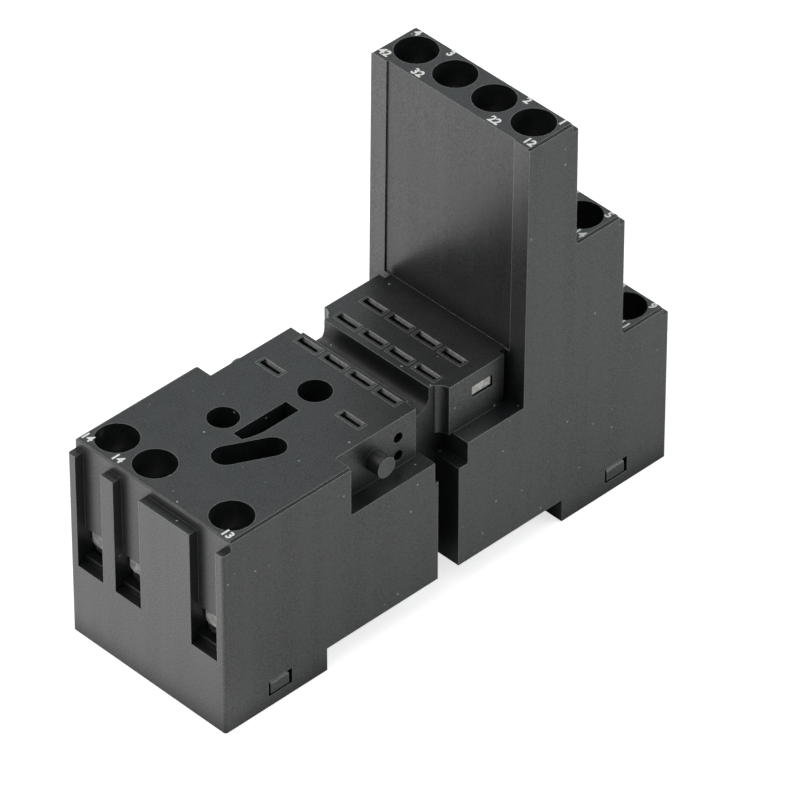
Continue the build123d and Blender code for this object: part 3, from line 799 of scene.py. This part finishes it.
@dataclass
class Terminals:
    """The fifteen screws with their rising clamps."""

    frame: dict
    screw_material: Material
    clamp_material: Material
    thread_pitch: float = 0.5
    thread_depth: float = 0.24
    head_height: float = 1.9
    head_dome: float = 0.25
    head_edge: float = 0.28
    head_radius: float = 2.4
    shank_radius: float = 1.5
    slot_radii: float = 2.4
    slot_width: float = 0.8
    slot_depth: float = 1.0
    slot_turn: float = 35.0
    cross_span: float = 3.2
    tip_edge: float = 0.3
    tooth: float = 0.16
    tooth_rise: float = 0.07
    teeth: int = 6
    jaw_floor: float = 0.9
    jaw_margin: float = 0.4
    jaw_wall: float = 0.6
    segments: int = 40
    turned: dict = field(default_factory=dict)

    def blank(self, radius: float, shank: float, height: float) -> Mesh:
        """Turns a screw with a slightly domed head, from its tip at Z 0 upwards.

        Args:
            radius: Radius of the head.
            shank: Radius over the thread.
            height: Whole length.

        Returns:
            A closed mesh without its slot.
        """
        core = shank - self.thread_depth * MM
        neck = height - self.head_height * MM
        rim = height - (self.head_edge + self.head_dome) * MM
        profile = [
            (0.0, 0.0),
            (core - self.tip_edge * MM, 0.0),
            (core, self.tip_edge * MM),
            (core, neck),
            (radius, neck),
            (radius, rim),
            (radius - self.head_edge * MM, height - self.head_dome * MM),
            (radius / 2, height - self.head_dome * MM / 4),
            (0.0, height),
        ]
        form = bmesh.new()
        points = [form.verts.new((x, 0.0, z)) for x, z in profile]
        edges = [form.edges.new(pair) for pair in zip(points, points[1:])]
        spun = {"geom": points + edges, "steps": self.segments, "angle": 2 * math.pi}
        bmesh.ops.spin(form, axis=(0, 0, 1), cent=(0, 0, 0), **spun)
        bmesh.ops.remove_doubles(form, verts=form.verts, dist=TINY)
        bmesh.ops.recalc_face_normals(form, faces=form.faces)
        return mesh_of("screw_blank", form)

    def cutter(self, radius: float, height: float) -> Object:
        """Makes the cross-shaped body that cuts the slot and the short cross slot of a head.

        Args:
            radius: Radius of the head.
            height: Height of its top.

        Returns:
            The cutting body.
        """
        form = bmesh.new()
        slot = self.slot_radii * radius
        spans = ((slot, self.slot_turn), (self.cross_span * MM, self.slot_turn + 90.0))
        for span, turn in spans:
            size = Matrix.Diagonal((span, self.slot_width * MM, 2 * self.slot_depth * MM, 1.0))
            place = Matrix.Translation((0.0, 0.0, height)) @ Matrix.Rotation(math.radians(turn), 4, "Z")
            bmesh.ops.create_cube(form, size=1.0, matrix=place @ size)
        return add_form("slot_cutter", form)

    def screw_mesh(self, node: str) -> tuple[Mesh, float]:
        """Makes a slotted screw of the size of a CAD screw, once for each length.

        Args:
            node: Name of the CAD screw.

        Returns:
            The mesh, standing on the origin, and the radius over its thread.
        """
        low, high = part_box(node)
        height = high.z - low.z
        key = round(height / MM, 2)
        if key not in self.turned:
            radius = (high.x - low.x) / 2
            shank = radius * self.shank_radius / self.head_radius
            body = add_to_scene("screw_body", self.blank(radius, shank, height))
            cutter = self.cutter(radius, height)
            cut = body.modifiers.new("slot", "BOOLEAN")
            cut.operation = "DIFFERENCE"
            cut.solver = "EXACT"
            cut.use_self = True
            cut.object = cutter
            self.turned[key] = (final_mesh(body), shank)
            for extra in (body, cutter):
                bpy.data.objects.remove(extra)
        return self.turned[key]

    def build_screw(self, name: str, thread: NodeTree) -> None:
        """Makes one screw with its thread, in place of the CAD screw.

        Args:
            name: The terminal's name.
            thread: The tree that makes the thread.
        """
        node = f"screw_{name}"
        low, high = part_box(node)
        pattern, shank = self.screw_mesh(node)
        foot = centre_of(node)
        foot.z = low.z
        ridge = self.thread_depth * MM / 2
        length = high.z - low.z - self.head_height * MM - self.tip_edge * MM - 2 * ridge
        values = {
            "Radius": shank - ridge,
            "Length": length,
            "Pitch": self.thread_pitch * MM,
            "Ridge": ridge,
            "Material": self.screw_material,
        }
        lift = Matrix.Translation(foot + Vector((0.0, 0.0, self.tip_edge * MM)))
        wound = grow_mesh(f"thread_{name}", thread, values, lift)
        form = bmesh.new()
        form.from_mesh(wound.data)
        body = pattern.copy()
        body.transform(Matrix.Translation(foot))
        form.from_mesh(body)
        bpy.data.objects.remove(wound)
        bpy.data.meshes.remove(body)
        piece = add_form(f"turned_{node}", form)
        give_material(piece, self.screw_material)
        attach(piece, f"screw_{name}_body")
        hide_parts(node)

    def build_teeth(self, name: str, jaw: NodeTree) -> None:
        """Adds the teeth on the floor of one clamp.

        Args:
            name: The terminal's name.
            jaw: The tree that makes the teeth.
        """
        low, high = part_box(f"clamp_{name}")
        sunk = self.jaw_floor - (self.tooth - self.tooth_rise)
        floor = centre_of(f"clamp_{name}")
        floor.z = low.z + sunk * MM
        values = {
            "Span": high.x - low.x - 2 * self.jaw_margin * MM,
            "Count": float(self.teeth),
            "Width": high.y - low.y - 2 * self.jaw_wall * MM,
            "Tooth": self.tooth * MM,
            "Material": self.clamp_material,
        }
        piece = grow_mesh(f"jaw_teeth_{name}", jaw, values, Matrix.Translation(floor))
        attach(piece, f"clamp_{name}_body")

    def build(self) -> None:
        """Dresses the clamps and makes every screw and every row of teeth."""
        thread = thread_tree()
        jaw = jaw_tree()
        for name in terminal_names(self.frame):
            give_material(self.frame["nodes"][f"clamp_{name}"], self.clamp_material)
            self.build_screw(name, thread)
            self.build_teeth(name, jaw)
            log.info("terminal %s has its screw, clamp and teeth", name)


def row_tree() -> NodeTree:
    """Builds a straight row of copies of one object along Y, centred on the origin.

    Returns:
        The tree, which takes the object, how many copies there are and their pitch.
    """
    tree = TreeBuilder("straight_row", {"Count": 4.0, "Pitch": 4.55})
    pattern = tree.tree.interface.new_socket("Pattern", in_out="INPUT", socket_type="NodeSocketObject")
    read = tree.node("GeometryNodeObjectInfo", {"Object": tree.given(pattern.name)})
    gaps = tree.math("SUBTRACT", tree.given("Count"), 1.0)
    start = tree.math("MULTIPLY", gaps, tree.given("Pitch"), -0.5)
    line = {
        "Count": tree.given("Count"),
        "Start Location": tree.vector(0.0, start, 0.0),
        "Offset": tree.vector(0.0, tree.given("Pitch"), 0.0),
    }
    row = tree.node("GeometryNodeMeshLine", line, mode="OFFSET").outputs["Mesh"]
    copies = {"Points": row, "Instance": read.outputs["Geometry"]}
    spread = tree.node("GeometryNodeInstanceOnPoints", copies)
    return tree.close(spread.outputs["Instances"])


@dataclass(frozen=True)
class SlotRow:
    """One row of blade slots across the seat."""

    name: str
    place: float
    count: int
    pitch: float


@dataclass
class SlotMouths:
    """Chamfered mouths of the blade slots in the seat, with closed ends."""

    plastic: Material
    seat: float = 29.2
    slot_length: float = 4.0
    mouth_length: float = 3.3
    mouth_half: float = 0.75
    throat_half: float = 0.4
    chamfer: float = 0.37
    depth: float = 0.9
    end_depth: float = 1.5
    overlap: float = 0.01
    sink: float = 0.004

    def rows(self) -> list[SlotRow]:
        """The rows of slots, as the seat has them.

        Returns:
            One entry for each row.
        """
        return [
            SlotRow("coil", -10.3, 2, 13.9),
            SlotRow("common", -4.15, 4, 4.55),
            SlotRow("open", 2.4, 4, 4.55),
            SlotRow("closed", 6.8, 4, 4.55),
        ]

    def prism(self, form: bmesh.types.BMesh, outline: list[tuple], low: float, high: float) -> None:
        """Adds a prism along Y to a mesh.

        Args:
            form: The mesh.
            outline: Corners in X and Z, in millimetres, in turn.
            low: Where the prism starts along Y.
            high: Where it ends.
        """
        ends = []
        for y in (low, high):
            ends.append([form.verts.new((x * MM, y * MM, z * MM)) for x, z in outline])
        first, last = ends
        form.faces.new(first)
        form.faces.new(reversed(last))
        for index in range(len(outline)):
            after = (index + 1) % len(outline)
            form.faces.new((first[index], last[index], last[after], first[after]))

    def pattern(self) -> Object:
        """Makes the lining of one slot, with the middle of its mouth at the origin.

        Returns:
            The lining, which the rows copy.
        """
        form = bmesh.new()
        half = self.mouth_length / 2
        edge = self.mouth_half + self.overlap
        throat = self.throat_half
        slope = [(edge, -self.sink), (throat, -self.chamfer), (throat, -self.depth)]
        upright = [(-edge, -self.sink), (-throat, -self.sink), (-throat, -self.depth)]
        self.prism(form, slope, -half, half)
        self.prism(form, upright, -half, half)
        reach = self.slot_length / 2 + self.overlap
        block = [
            (-edge, -self.sink),
            (edge, -self.sink),
            (throat, -self.depth),
            (throat, -self.end_depth),
            (-throat, -self.end_depth),
            (-throat, -self.depth),
        ]
        self.prism(form, block, half, reach)
        self.prism(form, block, -reach, -half)
        bmesh.ops.recalc_face_normals(form, faces=form.faces)
        return add_form("slot_lining", form)

    def build(self) -> None:
        """Lines every row of slots."""
        tree = row_tree()
        pattern = self.pattern()
        for row in self.rows():
            values = {
                "Count": float(row.count),
                "Pitch": row.pitch * MM,
                "Pattern": pattern,
                "Material": self.plastic,
            }
            place = Matrix.Translation((row.place * MM, 0.0, self.seat * MM))
            piece = grow_mesh(f"slot_mouths_{row.name}", tree, values, place)
            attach(piece, "socket")
        bpy.data.objects.remove(pattern)
        log.info("blade slots have their mouths")


@dataclass
class ContactTabs:
    """Rough plated tabs at the ends of the current bars, seen through the wire windows."""

    frame: dict
    metal: Material
    bar_underside: float = 11.3
    reach: float = 2.2
    thickness: float = 0.45
    height: float = 2.9
    width: float = 4.1
    corner: float = 0.7
    corner_steps: int = 6
    edge: float = 0.08
    foot: float = 0.05

    def outline(self) -> list[tuple[float, float]]:
        """Corners of a tab in Y and Z, in millimetres, with its two lower corners rounded.

        Returns:
            The corners, in turn.
        """
        half = self.width / 2
        points = [(-half, self.height), (half, self.height)]
        centre = half - self.corner
        for side, start in ((1.0, 0.0), (-1.0, 90.0)):
            for step in range(self.corner_steps + 1):
                angle = math.radians(start + 90.0 * step / self.corner_steps)
                across = side * centre + self.corner * math.cos(angle)
                points.append((across, self.corner - self.corner * math.sin(angle)))
        return points

    def build_tab(self, name: str) -> None:
        """Makes the tab of one terminal.

        Args:
            name: The terminal's name.
        """
        screw = centre_of(f"screw_{name}")
        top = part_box(f"screw_{name}")[1].z
        outward = -1.0 if name.startswith("coil") else 1.0
        foot_z = top - (self.bar_underside + self.foot) * MM
        inner_x = screw.x + outward * self.reach * MM
        form = bmesh.new()
        corners = [(inner_x, screw.y + y * MM, foot_z + z * MM) for y, z in self.outline()]
        face = form.faces.new([form.verts.new(corner) for corner in corners])
        grown = bmesh.ops.extrude_face_region(form, geom=[face])
        moved = [part for part in grown["geom"] if isinstance(part, bmesh.types.BMVert)]
        bmesh.ops.translate(form, verts=moved, vec=(outward * self.thickness * MM, 0.0, 0.0))
        bmesh.ops.recalc_face_normals(form, faces=form.faces)
        rim = [edge for edge in form.edges if abs(edge.verts[0].co.x - edge.verts[1].co.x) < TINY]
        bmesh.ops.bevel(form, geom=rim, offset=self.edge * MM, segments=2, affect="EDGES", profile=0.5)
        piece = add_form(f"contact_tab_{name}", form)
        give_material(piece, self.metal)
        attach(piece, "socket")

    def build(self) -> None:
        """Makes every terminal's tab."""
        for name in terminal_names(self.frame):
            self.build_tab(name)
        log.info("contact tabs stand in the windows")


@dataclass(frozen=True)
class NumberRow:
    """Numbers printed beside one row of wells, from the far side to the near side."""

    wells: str
    words: tuple[str, ...]
    side: Side
    reach: float
    across: tuple[float, ...] = (12.3, 6.6, -6.45, -12.35)


@dataclass(frozen=True)
class LooseNumber:
    """One number of the coil end, beside its well."""

    well: str
    word: str
    along: float
    across: float


@dataclass
class PrintedNumbers:
    """White terminal numbers on the tops of the housing."""

    ink: Material
    digit_height: float = 1.14
    thickness: float = 0.02
    sink: float = 0.012
    weight: float = 0.06
    cap_share: float = 0.7
    well_depth: float = 6.6
    head_height: float = 1.9

    def rows(self) -> list[NumberRow]:
        """The printed rows, as a real socket numbers its terminals.

        Returns:
            One entry for each row.
        """
        return [
            NumberRow("nc", ("42", "32", "22", "12"), Side.TOWARDS_SEAT, 3.1),
            NumberRow("nc", ("4", "3", "2", "1"), Side.TOWARDS_END, 2.45),
            NumberRow("no", ("44", "34", "24", "14"), Side.TOWARDS_SEAT, 2.7),
            NumberRow("no", ("8", "7", "6", "5"), Side.TOWARDS_END, 2.4),
            NumberRow("com", ("41", "31", "21", "11"), Side.TOWARDS_SEAT, 2.7),
            NumberRow("com", ("12", "11", "10", "9"), Side.TOWARDS_END, 2.4),
        ]

    def coil_numbers(self) -> list[LooseNumber]:
        """The numbers at the coil end.

        Returns:
            One entry for each number.
        """
        return [
            LooseNumber("coil_a2_outer", "14", -2.45, 2.55),
            LooseNumber("coil_a2_inner", "14", -2.55, 3.8),
            LooseNumber("coil_a1", "13", -2.7, -2.1),
        ]

    def lay(self, form: bmesh.types.BMesh, word: str, place: Vector) -> None:
        """Adds one number to the print, read from the contact end's side.

        Args:
            form: The mesh that gathers the print.
            word: The number.
            place: Middle of the number on its surface, in metres.
        """
        curve = bpy.data.curves.new("number", "FONT")
        curve.body = word
        curve.size = self.digit_height * MM / self.cap_share
        curve.align_x = "CENTER"
        curve.align_y = "CENTER"
        curve.extrude = self.thickness * MM / 2
        curve.offset = self.weight * MM
        curve.resolution_u = 3
        holder = add_to_scene("number", curve)
        mesh = final_mesh(holder)
        bpy.data.objects.remove(holder)
        bpy.data.curves.remove(curve)
        turn = Matrix.Rotation(-math.pi / 2, 4, "Z")
        lift = Vector((0.0, 0.0, (self.thickness / 2 - self.sink) * MM))
        mesh.transform(Matrix.Translation(place + lift) @ turn)
        form.from_mesh(mesh)
        bpy.data.meshes.remove(mesh)

    def build(self) -> None:
        """Prints every row and the numbers of the coil end, as one piece."""
        form = bmesh.new()
        drop = (self.well_depth - self.head_height) * MM
        for row in self.rows():
            for index, word in enumerate(row.words):
                node = f"screw_{row.wells}_{len(row.words) - index}"
                x = centre_of(node).x + row.side.value * row.reach * MM
                self.lay(form, word, Vector((x, row.across[index] * MM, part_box(node)[1].z + drop)))
        for number in self.coil_numbers():
            node = f"screw_{number.well}"
            shift = Vector((number.along * MM, number.across * MM, 0.0))
            place = centre_of(node) + shift
            place.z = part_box(node)[1].z + drop
            self.lay(form, number.word, place)
        piece = add_form("printed_numbers", form)
        give_material(piece, self.ink)
        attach(piece, "socket")
        log.info("terminal numbers are printed")


@dataclass
class Mouldings:
    """The housing, the two foot covers, the rail latch with its spring, and the contact strips."""

    frame: dict
    finishes: dict[str, Material]

    def build(self) -> None:
        """Dresses every CAD node whose name starts like an entry of the finishes."""
        for node, piece in self.frame["nodes"].items():
            for start, material in self.finishes.items():
                if node.startswith(start):
                    give_material(piece, material)
                    log.info("%s is dressed", node)


@dataclass(frozen=True)
class PhotoCamera:
    """The camera fitted to the photograph, with angles in degrees and lengths in millimetres."""

    focal_pixels: float = 8111.5
    azimuth: float = -44.1194
    elevation: float = 39.2755
    roll: float = 0.0077
    offset_x: float = -3.2910
    offset_y: float = -17.2726
    distance: float = 996.3074

    def build(self) -> None:
        """Makes the camera and sets it as the scene's own."""
        azimuth, elevation, roll = map(math.radians, (self.azimuth, self.elevation, self.roll))
        back = direction(azimuth, elevation)
        right = Vector((math.cos(azimuth), math.sin(azimuth), 0.0))
        up = back.cross(right)
        turned_right = math.cos(roll) * right + math.sin(roll) * up
        turned_up = math.cos(roll) * up - math.sin(roll) * right
        place = -(self.offset_x * turned_right + self.offset_y * turned_up - self.distance * back) * MM
        data = bpy.data.cameras.new("photo_camera")
        data.sensor_fit = "HORIZONTAL"
        data.lens = self.focal_pixels * data.sensor_width / PHOTO_SIZE
        data.clip_start = 0.05
        data.clip_end = 10.0
        camera = add_to_scene("photo_camera", data)
        axes = Matrix((turned_right, turned_up, back)).transposed().to_4x4()
        camera.matrix_world = Matrix.Translation(place) @ axes
        bpy.context.scene.camera = camera


@dataclass(frozen=True)
class Lamp:
    """A soft square lamp, with its direction from the object in degrees and its lengths in metres."""

    name: str
    azimuth: float
    elevation: float
    distance: float
    width: float
    power: float
    colour: Colour = WHITE

    def build(self, target: Vector) -> None:
        """Hangs the lamp, facing the target.

        Args:
            target: The point that the lamp looks at.
        """
        data = bpy.data.lights.new(self.name, "AREA")
        data.shape = "SQUARE"
        data.size = self.width
        data.energy = self.power
        data.color = self.colour
        back = direction(math.radians(self.azimuth), math.radians(self.elevation))
        lamp = add_to_scene(self.name, data)
        turn = back.to_track_quat("Z", "Y").to_matrix().to_4x4()
        lamp.matrix_world = Matrix.Translation(target + back * self.distance) @ turn


@dataclass
class Studio:
    """A pale floor, soft lamps and a world that is dimmer on the coil end's side."""

    floor_size: float = 4.0
    floor_drop: float = 0.00005
    floor_grey: float = 0.8
    floor_roughness: float = 0.9
    floor_gloss: float = 0.1
    paper_light: float = 1.03
    seen_glow: float = 0.7
    mirrored_glow: float = 0.5
    glow_start: float = 0.0
    glow_full: float = 0.05
    world_strength: float = 0.49
    dim_strength: float = 0.08
    dim_until: float = -0.5
    lit_from: float = 0.4
    world_colour: Colour = (0.93, 1.0, 1.0)
    aim: tuple[float, float, float] = (0.0, 0.0, 0.025)

    def floor_material(self) -> Material:
        """A pale matte floor that keeps the object's shadow, and that glows for glossy rays past the coil
        end as painted light in reflections.

        Returns:
            The floor's material.
        """
        material, shader, matte = open_material("pale_floor")
        place = shader.place()
        fibres = shader.noise(place, scale=60.0, detail=3.0)
        light = self.floor_grey * self.paper_light
        paper = shader.mix(fibres, (self.floor_grey,) * 3, (light,) * 3)
        path = shader.node("ShaderNodeLightPath")
        seen = shader.math("MULTIPLY", path.outputs["Is Camera Ray"], self.seen_glow)
        # painted reflection light: past the coil end the floor glows for glossy rays only, so the end
        # faces mirror a glow that is no lamp
        x, y, _ = shader.parts(place)
        glow = shader.ramp(shader.math("SUBTRACT", y, x), self.glow_start, self.glow_full)
        mirrored = shader.math("MULTIPLY", glow, self.mirrored_glow, path.outputs["Is Glossy Ray"])
        surface = {
            "Base Color": paper,
            "Roughness": self.floor_roughness,
            "Specular IOR Level": self.floor_gloss,
            "Emission Color": (*WHITE, 1.0),
            "Emission Strength": shader.math("MAXIMUM", seen, mirrored),
        }
        shader.fill(matte, surface)
        return material

    def build_floor(self) -> None:
        """Lays the floor just under the object."""
        half = self.floor_size / 2
        corners = [(-half, -half), (half, -half), (half, half), (-half, half)]
        mesh = bpy.data.meshes.new("floor")
        mesh.from_pydata([(x, y, -self.floor_drop) for x, y in corners], [], [(0, 1, 2, 3)])
        floor = add_to_scene("floor", mesh)
        give_material(floor, self.floor_material())

    def build_world(self) -> None:
        """Gives a pale surround, dimmer on the coil end's side, which the camera sees as white."""
        world = bpy.data.worlds.new("studio")
        world.use_nodes = True
        shader = Shader(world.node_tree)
        surround = world.node_tree.nodes["Background"]
        path = shader.node("ShaderNodeLightPath")
        watched = path.outputs["Is Camera Ray"]
        tint = shader.mix(watched, self.world_colour, WHITE)
        side = shader.ramp(shader.parts(shader.place())[0], self.dim_until, self.lit_from)
        gain = shader.math("MULTIPLY", side, self.world_strength - self.dim_strength)
        lit = shader.math("ADD", gain, self.dim_strength)
        shader.fill(surround, {"Color": tint, "Strength": shader.math("MAXIMUM", lit, watched)})
        bpy.context.scene.world = world

    def lamps(self) -> list[Lamp]:
        """The lamps: a low sweep past the coil end, a top light and one that picks out the edges.

        Returns:
            The lamps.
        """
        return [
            Lamp("sweep_lamp", -150.0, 18.0, 0.55, 0.40, 1.0, WARM_WHITE),
            Lamp("top_lamp", -95.0, 60.0, 0.50, 0.42, 1.0, WARM_WHITE),
            Lamp("edge_lamp", 46.0, 30.0, 0.45, 0.26, 0.5),
        ]

    def build(self) -> None:
        """Builds floor, world and lamps, and sets plain colour management."""
        self.build_floor()
        self.build_world()
        for lamp in self.lamps():
            lamp.build(Vector(self.aim))
        bpy.context.scene.view_settings.view_transform = "Standard"
        log.info("studio is lit")


def main() -> None:
    """Loads the frame, builds and dresses the socket, and sets the studio and the camera."""
    logging.basicConfig(level=logging.INFO, format="%(name)s: %(message)s")
    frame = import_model()
    groups = Groups.build()
    black = MouldedPlastic("black_housing", (0.008, 0.009, 0.010), (0.012, 0.013, 0.014), 0.36)
    cover = MouldedPlastic("black_cover", (0.008, 0.009, 0.010), (0.011, 0.012, 0.013), 0.40)
    latch = MouldedPlastic("black_latch", (0.011, 0.011, 0.012), (0.016, 0.016, 0.017), 0.36, speck=0.3)
    zinc = PlatedMetal("zinc_plate", (0.56, 0.57, 0.58), (0.80, 0.81, 0.80), 0.34)
    screw_zinc = PlatedMetal("screw_zinc", (0.44, 0.45, 0.46), (0.62, 0.63, 0.63), 0.36, line_depth=0.2)
    tin = PlatedMetal("tinned_strip", (0.62, 0.61, 0.58), (0.86, 0.85, 0.82), 0.30, line_depth=0.8)
    spring = PlatedMetal("spring_strip", (0.42, 0.42, 0.43), (0.58, 0.58, 0.58), 0.30, line_depth=0.9)
    ink = PrintedInk("white_ink", (0.92, 0.92, 0.90), (0.6, 0.6, 0.6), 0.6)
    rough_zinc = PlatedMetal(
        "rough_zinc", (0.5, 0.5, 0.49), (0.95, 0.95, 0.94), 0.45, line_depth=0.9, metallic=0.2
    )
    tin_dress = tin.build(groups)
    black_dress = black.build(groups)
    cover_dress = cover.build(groups)
    finishes = {
        "housing": black_dress,
        "coil_foot_cover": cover_dress,
        "contact_foot_cover": cover_dress,
        "rail_latch": latch.build(groups),
        "latch_spring": spring.build(groups),
        "strip_": tin_dress,
    }
    Mouldings(frame, finishes).build()
    Terminals(frame, screw_zinc.build(groups), zinc.build(groups)).build()
    ContactTabs(frame, rough_zinc.build(groups)).build()
    SlotMouths(black_dress).build()
    PrintedNumbers(ink.build(groups)).build()
    Studio().build()
    PhotoCamera().build()


if __name__ == "__main__":
    main()
